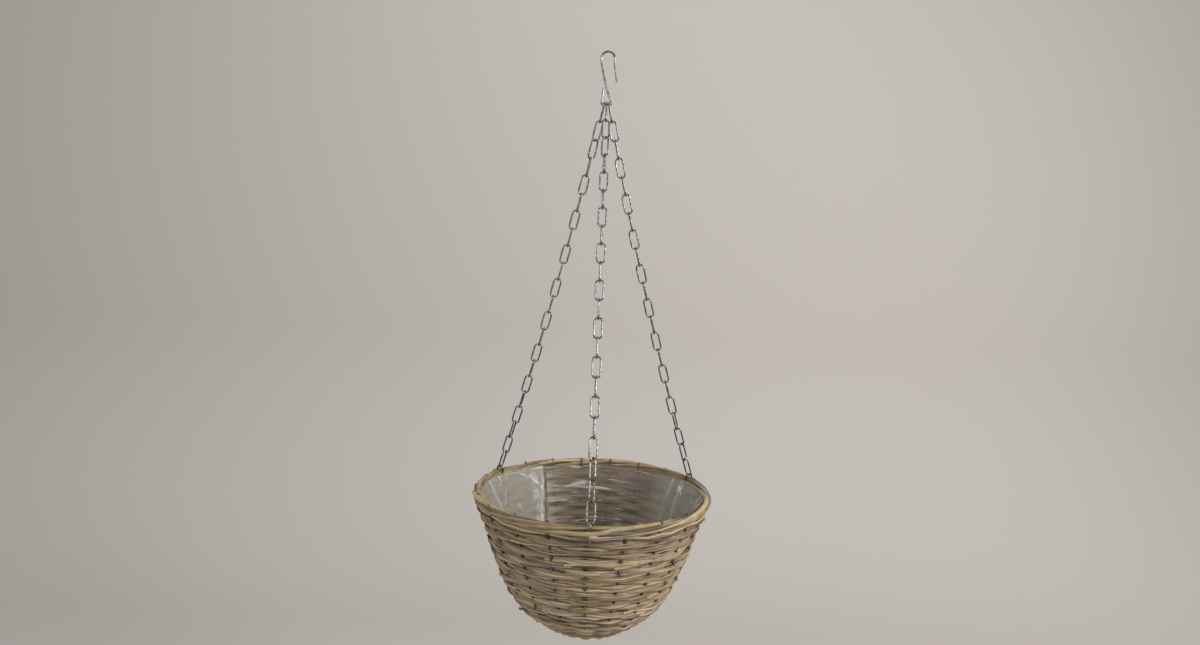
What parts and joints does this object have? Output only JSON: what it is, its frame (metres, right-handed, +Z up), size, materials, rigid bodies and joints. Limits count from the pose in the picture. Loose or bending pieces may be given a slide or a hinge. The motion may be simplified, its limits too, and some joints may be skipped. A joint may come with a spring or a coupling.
{
  "type": "hanging willow basket",
  "caption": "Round woven willow planter with a clear film liner, hung by link chains from one bent wire hook.",
  "frame": {"origin": "inside of the hook's crown, where the bracket or nail carries the basket", "axes": "+Z up along the line of hanging; -Y towards the front chain; +X to the right seen from the front"},
  "size_m": [0.2948, 0.2946, 0.7009],
  "materials": {
    "hook": "zinc plated, satin",
    "chain": "zinc plated, satin",
    "willow": "woven unpeeled willow, matt",
    "willow_rod": "unpeeled willow rods, matt",
    "stakes": "dark annealed wire",
    "film": "clear crinkled film"
  },
  "bodies": {
    "hook": {"hook": "hook"},
    "top_links": {"left_link_01": "chain", "front_link_01": "chain", "right_link_01": "chain"},
    "basket": {"woven_wall": "willow", "woven_base": "willow", "rim_rod_top": "willow_rod", "rim_rod_middle": "willow_rod", "rim_rod_lower": "willow_rod", "stake_cage": "stakes", "liner": "film"},
    "left_body_02": {"left_link_02": "chain"},
    "left_body_03": {"left_link_03": "chain"},
    "left_body_04_05": {"left_link_04_05": "chain"},
    "left_body_06_07": {"left_link_06_07": "chain"},
    "left_body_08_09": {"left_link_08_09": "chain"},
    "left_body_10_11": {"left_link_10_11": "chain"},
    "left_body_12_13": {"left_link_12_13": "chain"},
    "left_body_14_15": {"left_link_14_15": "chain"},
    "left_body_16_17": {"left_link_16_17": "chain"},
    "left_body_18": {"left_link_18": "chain"},
    "left_body_19": {"left_link_19": "chain"},
    "left_body_20": {"left_link_20": "chain"},
    "left_body_21": {"left_link_21": "chain"},
    "left_body_22": {"left_link_22": "chain"},
    "left_body_23": {"left_link_23": "chain"},
    "front_body_02": {"front_link_02": "chain"},
    "front_body_03": {"front_link_03": "chain"},
    "front_body_04_05": {"front_link_04_05": "chain"},
    "front_body_06_07": {"front_link_06_07": "chain"},
    "front_body_08_09": {"front_link_08_09": "chain"},
    "front_body_10_11": {"front_link_10_11": "chain"},
    "front_body_12_13": {"front_link_12_13": "chain"},
    "front_body_14_15": {"front_link_14_15": "chain"},
    "front_body_16_17": {"front_link_16_17": "chain"},
    "front_body_18": {"front_link_18": "chain"},
    "front_body_19": {"front_link_19": "chain"},
    "front_body_20": {"front_link_20": "chain"},
    "front_body_21": {"front_link_21": "chain"},
    "front_body_22": {"front_link_22": "chain"},
    "front_body_23": {"front_link_23": "chain"},
    "right_body_02": {"right_link_02": "chain"},
    "right_body_03": {"right_link_03": "chain"},
    "right_body_04_05": {"right_link_04_05": "chain"},
    "right_body_06_07": {"right_link_06_07": "chain"},
    "right_body_08_09": {"right_link_08_09": "chain"},
    "right_body_10_11": {"right_link_10_11": "chain"},
    "right_body_12_13": {"right_link_12_13": "chain"},
    "right_body_14_15": {"right_link_14_15": "chain"},
    "right_body_16_17": {"right_link_16_17": "chain"},
    "right_body_18": {"right_link_18": "chain"},
    "right_body_19": {"right_link_19": "chain"},
    "right_body_20": {"right_link_20": "chain"},
    "right_body_21": {"right_link_21": "chain"},
    "right_body_22": {"right_link_22": "chain"},
    "right_body_23": {"right_link_23": "chain"}
  },
  "joints": [
    {"name": "basket_swing", "type": "hinge", "parent": "hook", "child": "top_links", "pos_m": [0, 0, -0.0611], "axis": [1, 0, 0], "range_deg": [-35, 35]},
    {"name": "basket_turn", "type": "hinge", "parent": "top_links", "child": "basket", "pos_m": [0, 0, -0.0611], "axis": [0, 0, 1], "range_deg": [-8, 8]},
    {"name": "left_chain_sway", "type": "hinge", "parent": "basket", "child": "left_body_02", "pos_m": [-0.00723, 0.00255, -0.08105], "axis": [-0.8236, 0.4871, 0.2905], "range_deg": [-4.5, 4.5]},
    {"name": "left_link_03_sway", "type": "hinge", "parent": "basket", "child": "left_body_03", "pos_m": [-0.00711, 0.00248, -0.08059], "axis": [-0.8236, 0.4871, 0.2905], "range_deg": [-4.49, 4.49]},
    {"name": "left_link_04_05_sway", "type": "hinge", "parent": "basket", "child": "left_body_04_05", "pos_m": [-0.00621, 0.00195, -0.07716], "axis": [-0.8236, 0.4871, 0.2905], "range_deg": [-4.16, 4.16]},
    {"name": "left_link_06_07_sway", "type": "hinge", "parent": "basket", "child": "left_body_06_07", "pos_m": [-0.00127, -0.00098, -0.05823], "axis": [-0.8236, 0.4871, 0.2905], "range_deg": [-3.42, 3.42]},
    {"name": "left_link_08_09_sway", "type": "hinge", "parent": "basket", "child": "left_body_08_09", "pos_m": [0.01541, -0.01084, 0.0056], "axis": [-0.8236, 0.4871, 0.2905], "range_deg": [-2.4, 2.4]},
    {"name": "left_link_10_11_sway", "type": "hinge", "parent": "basket", "child": "left_body_10_11", "pos_m": [0.08571, -0.05241, 0.27461], "axis": [-0.8236, 0.4871, 0.2905], "range_deg": [-1.17, 1.17]},
    {"name": "left_link_12_13_sway", "type": "slide", "parent": "basket", "child": "left_body_12_13", "axis": [-0.509, -0.8608, 0], "range_m": [-0.01195, 0.01195]},
    {"name": "left_link_14_15_sway", "type": "hinge", "parent": "basket", "child": "left_body_14_15", "pos_m": [-0.18833, 0.10964, -0.7741], "axis": [-0.8236, 0.4871, 0.2905], "range_deg": [-1.48, 1.48]},
    {"name": "left_link_16_17_sway", "type": "hinge", "parent": "basket", "child": "left_body_16_17", "pos_m": [-0.14187, 0.08217, -0.59631], "axis": [-0.8236, 0.4871, 0.2905], "range_deg": [-2.67, 2.67]},
    {"name": "left_link_18_sway", "type": "hinge", "parent": "basket", "child": "left_body_18", "pos_m": [-0.13153, 0.07605, -0.55672], "axis": [-0.8236, 0.4871, 0.2905], "range_deg": [-3.43, 3.43]},
    {"name": "left_link_19_sway", "type": "hinge", "parent": "basket", "child": "left_body_19", "pos_m": [-0.12821, 0.07409, -0.54403], "axis": [-0.8236, 0.4871, 0.2905], "range_deg": [-3.84, 3.84]},
    {"name": "left_link_20_sway", "type": "hinge", "parent": "basket", "child": "left_body_20", "pos_m": [-0.12646, 0.07305, -0.53733], "axis": [-0.8236, 0.4871, 0.2905], "range_deg": [-4.17, 4.17]},
    {"name": "left_link_21_sway", "type": "hinge", "parent": "basket", "child": "left_body_21", "pos_m": [-0.12564, 0.07257, -0.53421], "axis": [-0.8236, 0.4871, 0.2905], "range_deg": [-4.41, 4.41]},
    {"name": "left_link_22_sway", "type": "hinge", "parent": "basket", "child": "left_body_22", "pos_m": [-0.12537, 0.07241, -0.53315], "axis": [-0.8236, 0.4871, 0.2905], "range_deg": [-4.55, 4.55]},
    {"name": "left_link_23_sway", "type": "hinge", "parent": "basket", "child": "left_body_23", "pos_m": [-0.12534, 0.07239, -0.53303], "axis": [-0.8236, 0.4871, 0.2905], "range_deg": [-4.6, 4.6]},
    {"name": "front_chain_sway", "type": "hinge", "parent": "basket", "child": "front_body_02", "pos_m": [0, -0.00511, -0.08106], "axis": [0, -0.9554, 0.2953], "range_deg": [-4.5, 4.5]},
    {"name": "front_link_03_sway", "type": "hinge", "parent": "basket", "child": "front_body_03", "pos_m": [0, -0.00497, -0.0806], "axis": [0, -0.9554, 0.2953], "range_deg": [-4.49, 4.49]},
    {"name": "front_link_04_05_sway", "type": "hinge", "parent": "basket", "child": "front_body_04_05", "pos_m": [0, -0.00391, -0.07717], "axis": [0, -0.9554, 0.2953], "range_deg": [-4.16, 4.16]},
    {"name": "front_link_06_07_sway", "type": "hinge", "parent": "basket", "child": "front_body_06_07", "pos_m": [0, 0.00194, -0.05824], "axis": [0, -0.9554, 0.2953], "range_deg": [-3.42, 3.42]},
    {"name": "front_link_08_09_sway", "type": "hinge", "parent": "basket", "child": "front_body_08_09", "pos_m": [0, 0.02167, 0.00561], "axis": [0, -0.9554, 0.2953], "range_deg": [-2.4, 2.4]},
    {"name": "front_link_10_11_sway", "type": "hinge", "parent": "basket", "child": "front_body_10_11", "pos_m": [0, 0.10486, 0.27478], "axis": [0, -0.9554, 0.2953], "range_deg": [-1.17, 1.17]},
    {"name": "front_link_12_13_sway", "type": "slide", "parent": "basket", "child": "front_body_12_13", "axis": [1, 0, 0], "range_m": [-0.01197, 0.01197]},
    {"name": "front_link_14_15_sway", "type": "hinge", "parent": "basket", "child": "front_body_14_15", "pos_m": [0, -0.21923, -0.77389], "axis": [0, -0.9554, 0.2953], "range_deg": [-1.48, 1.48]},
    {"name": "front_link_16_17_sway", "type": "hinge", "parent": "basket", "child": "front_body_16_17", "pos_m": [0, -0.16433, -0.59624], "axis": [0, -0.9554, 0.2953], "range_deg": [-2.67, 2.67]},
    {"name": "front_link_18_sway", "type": "hinge", "parent": "basket", "child": "front_body_18", "pos_m": [0, -0.1521, -0.55667], "axis": [0, -0.9554, 0.2953], "range_deg": [-3.43, 3.43]},
    {"name": "front_link_19_sway", "type": "hinge", "parent": "basket", "child": "front_body_19", "pos_m": [0, -0.14818, -0.54399], "axis": [0, -0.9554, 0.2953], "range_deg": [-3.84, 3.84]},
    {"name": "front_link_20_sway", "type": "hinge", "parent": "basket", "child": "front_body_20", "pos_m": [0, -0.14611, -0.5373], "axis": [0, -0.9554, 0.2953], "range_deg": [-4.17, 4.17]},
    {"name": "front_link_21_sway", "type": "hinge", "parent": "basket", "child": "front_body_21", "pos_m": [0, -0.14515, -0.53418], "axis": [0, -0.9554, 0.2953], "range_deg": [-4.41, 4.41]},
    {"name": "front_link_22_sway", "type": "hinge", "parent": "basket", "child": "front_body_22", "pos_m": [0, -0.14482, -0.53312], "axis": [0, -0.9554, 0.2953], "range_deg": [-4.55, 4.55]},
    {"name": "front_link_23_sway", "type": "hinge", "parent": "basket", "child": "front_body_23", "pos_m": [0, -0.14479, -0.53301], "axis": [0, -0.9554, 0.2953], "range_deg": [-4.6, 4.6]},
    {"name": "right_chain_sway", "type": "hinge", "parent": "basket", "child": "right_body_02", "pos_m": [0.00737, 0.00231, -0.08105], "axis": [0.8485, 0.4425, 0.2903], "range_deg": [-4.5, 4.5]},
    {"name": "right_link_03_sway", "type": "hinge", "parent": "basket", "child": "right_body_03", "pos_m": [0.00725, 0.00225, -0.08059], "axis": [0.8485, 0.4425, 0.2903], "range_deg": [-4.49, 4.49]},
    {"name": "right_link_04_05_sway", "type": "hinge", "parent": "basket", "child": "right_body_04_05", "pos_m": [0.00633, 0.00177, -0.07716], "axis": [0.8485, 0.4425, 0.2903], "range_deg": [-4.16, 4.16]},
    {"name": "right_link_06_07_sway", "type": "hinge", "parent": "basket", "child": "right_body_06_07", "pos_m": [0.00123, -0.00089, -0.05823], "axis": [0.8485, 0.4425, 0.2903], "range_deg": [-3.42, 3.42]},
    {"name": "right_link_08_09_sway", "type": "hinge", "parent": "basket", "child": "right_body_08_09", "pos_m": [-0.01594, -0.00984, 0.0056], "axis": [0.8485, 0.4425, 0.2903], "range_deg": [-2.4, 2.4]},
    {"name": "right_link_10_11_sway", "type": "hinge", "parent": "basket", "child": "right_body_10_11", "pos_m": [-0.0883, -0.04759, 0.27461], "axis": [0.8485, 0.4425, 0.2903], "range_deg": [-1.17, 1.17]},
    {"name": "right_link_12_13_sway", "type": "slide", "parent": "basket", "child": "right_body_12_13", "axis": [-0.4625, 0.8866, 0], "range_m": [-0.01195, 0.01195]},
    {"name": "right_link_14_15_sway", "type": "hinge", "parent": "basket", "child": "right_body_14_15", "pos_m": [0.1938, 0.09955, -0.77411], "axis": [0.8485, 0.4425, 0.2903], "range_deg": [-1.48, 1.48]},
    {"name": "right_link_16_17_sway", "type": "hinge", "parent": "basket", "child": "right_body_16_17", "pos_m": [0.14598, 0.07461, -0.59632], "axis": [0.8485, 0.4425, 0.2903], "range_deg": [-2.67, 2.67]},
    {"name": "right_link_18_sway", "type": "hinge", "parent": "basket", "child": "right_body_18", "pos_m": [0.13532, 0.06905, -0.55672], "axis": [0.8485, 0.4425, 0.2903], "range_deg": [-3.43, 3.43]},
    {"name": "right_link_19_sway", "type": "hinge", "parent": "basket", "child": "right_body_19", "pos_m": [0.13191, 0.06727, -0.54403], "axis": [0.8485, 0.4425, 0.2903], "range_deg": [-3.84, 3.84]},
    {"name": "right_link_20_sway", "type": "hinge", "parent": "basket", "child": "right_body_20", "pos_m": [0.13011, 0.06633, -0.53733], "axis": [0.8485, 0.4425, 0.2903], "range_deg": [-4.17, 4.17]},
    {"name": "right_link_21_sway", "type": "hinge", "parent": "basket", "child": "right_body_21", "pos_m": [0.12927, 0.06589, -0.53421], "axis": [0.8485, 0.4425, 0.2903], "range_deg": [-4.41, 4.41]},
    {"name": "right_link_22_sway", "type": "hinge", "parent": "basket", "child": "right_body_22", "pos_m": [0.12898, 0.06574, -0.53315], "axis": [0.8485, 0.4425, 0.2903], "range_deg": [-4.55, 4.55]},
    {"name": "right_link_23_sway", "type": "hinge", "parent": "basket", "child": "right_body_23", "pos_m": [0.12895, 0.06573, -0.53303], "axis": [0.8485, 0.4425, 0.2903], "range_deg": [-4.6, 4.6]}
  ],
  "couplings": [
    {"joint": "left_link_03_sway", "follows": "left_chain_sway", "ratio": 0.97873},
    {"joint": "left_link_04_05_sway", "follows": "left_chain_sway", "ratio": 0.90562},
    {"joint": "left_link_06_07_sway", "follows": "left_chain_sway", "ratio": 0.74515},
    {"joint": "left_link_08_09_sway", "follows": "left_chain_sway", "ratio": 0.52151},
    {"joint": "left_link_10_11_sway", "follows": "left_chain_sway", "ratio": 0.25364},
    {"joint": "left_link_12_13_sway", "follows": "left_chain_sway", "m_per_rad": 0.14919},
    {"joint": "left_link_14_15_sway", "follows": "left_chain_sway", "ratio": -0.32207},
    {"joint": "left_link_16_17_sway", "follows": "left_chain_sway", "ratio": -0.58108},
    {"joint": "left_link_18_sway", "follows": "left_chain_sway", "ratio": -0.74605},
    {"joint": "left_link_19_sway", "follows": "left_chain_sway", "ratio": -0.83558},
    {"joint": "left_link_20_sway", "follows": "left_chain_sway", "ratio": -0.90732},
    {"joint": "left_link_21_sway", "follows": "left_chain_sway", "ratio": -0.95974},
    {"joint": "left_link_22_sway", "follows": "left_chain_sway", "ratio": -0.99175},
    {"joint": "left_link_23_sway", "follows": "left_chain_sway", "ratio": -1.0026},
    {"joint": "front_link_03_sway", "follows": "front_chain_sway", "ratio": 0.97873},
    {"joint": "front_link_04_05_sway", "follows": "front_chain_sway", "ratio": 0.9056},
    {"joint": "front_link_06_07_sway", "follows": "front_chain_sway", "ratio": 0.74511},
    {"joint": "front_link_08_09_sway", "follows": "front_chain_sway", "ratio": 0.52145},
    {"joint": "front_link_10_11_sway", "follows": "front_chain_sway", "ratio": 0.25355},
    {"joint": "front_link_12_13_sway", "follows": "front_chain_sway", "m_per_rad": 0.1494},
    {"joint": "front_link_14_15_sway", "follows": "front_chain_sway", "ratio": -0.32221},
    {"joint": "front_link_16_17_sway", "follows": "front_chain_sway", "ratio": -0.58121},
    {"joint": "front_link_18_sway", "follows": "front_chain_sway", "ratio": -0.74617},
    {"joint": "front_link_19_sway", "follows": "front_chain_sway", "ratio": -0.83568},
    {"joint": "front_link_20_sway", "follows": "front_chain_sway", "ratio": -0.9074},
    {"joint": "front_link_21_sway", "follows": "front_chain_sway", "ratio": -0.9598},
    {"joint": "front_link_22_sway", "follows": "front_chain_sway", "ratio": -0.99178},
    {"joint": "front_link_23_sway", "follows": "front_chain_sway", "ratio": -1.0026},
    {"joint": "right_link_03_sway", "follows": "right_chain_sway", "ratio": 0.97873},
    {"joint": "right_link_04_05_sway", "follows": "right_chain_sway", "ratio": 0.90562},
    {"joint": "right_link_06_07_sway", "follows": "right_chain_sway", "ratio": 0.74515},
    {"joint": "right_link_08_09_sway", "follows": "right_chain_sway", "ratio": 0.52151},
    {"joint": "right_link_10_11_sway", "follows": "right_chain_sway", "ratio": 0.25365},
    {"joint": "right_link_12_13_sway", "follows": "right_chain_sway", "m_per_rad": 0.14918},
    {"joint": "right_link_14_15_sway", "follows": "right_chain_sway", "ratio": -0.32207},
    {"joint": "right_link_16_17_sway", "follows": "right_chain_sway", "ratio": -0.58108},
    {"joint": "right_link_18_sway", "follows": "right_chain_sway", "ratio": -0.74605},
    {"joint": "right_link_19_sway", "follows": "right_chain_sway", "ratio": -0.83558},
    {"joint": "right_link_20_sway", "follows": "right_chain_sway", "ratio": -0.90731},
    {"joint": "right_link_21_sway", "follows": "right_chain_sway", "ratio": -0.95974},
    {"joint": "right_link_22_sway", "follows": "right_chain_sway", "ratio": -0.99175},
    {"joint": "right_link_23_sway", "follows": "right_chain_sway", "ratio": -1.0026}
  ]
}
